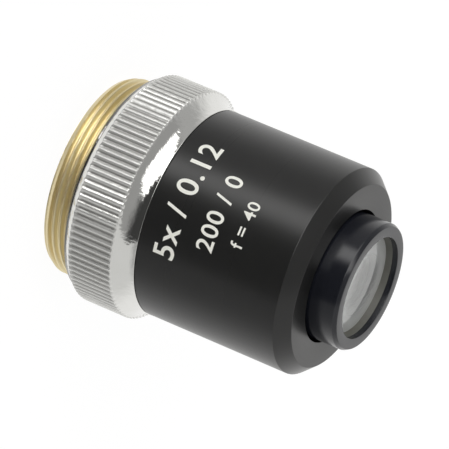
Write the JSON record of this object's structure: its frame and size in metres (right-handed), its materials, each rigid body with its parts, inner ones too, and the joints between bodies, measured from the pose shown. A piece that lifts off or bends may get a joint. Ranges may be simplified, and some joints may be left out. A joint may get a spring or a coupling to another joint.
{
  "type": "microscope objective",
  "caption": "Low-power microscope objective: narrow glass nose, black cover sleeve, knurled chrome collar and a brass end with the fine objective thread.",
  "frame": {"origin": "centre of the mounting shoulder on the optical axis", "axes": "+Z along the optical axis towards the nose and the specimen; the part stands on the rear face of its thread"},
  "size_m": [0.0234, 0.0234, 0.0304],
  "materials": {
    "brass": "turned, polished and gold coloured",
    "chrome": "bright chrome plate over brass",
    "black_satin": "satin black anodised",
    "black_gloss": "glossy black anodised",
    "black_matt": "matt black, against stray light",
    "olive_grey": "matt olive grey",
    "glass": "polished optical glass with a faint coating"
  },
  "bodies": {
    "root": {"thread_mount": "brass", "knurled_collar": "chrome", "parfocal_shim": "brass", "lens_barrel": "black_matt", "outer_sleeve": "black_satin", "nose_cell": "black_gloss", "nose_lock_ring": "black_matt", "front_mask_ring": "olive_grey", "front_crown_lens": "glass", "front_flint_lens": "glass", "front_spacer": "black_matt", "second_lens": "glass", "front_retaining_ring": "black_matt", "middle_spacer": "black_matt", "aperture_stop": "black_matt", "stop_spacer": "black_matt", "rear_cell": "black_matt", "rear_crown_lens": "glass", "rear_flint_lens": "glass", "rear_cell_ring": "black_matt", "barrel_retaining_ring": "black_matt"}
  },
  "joints": []
}
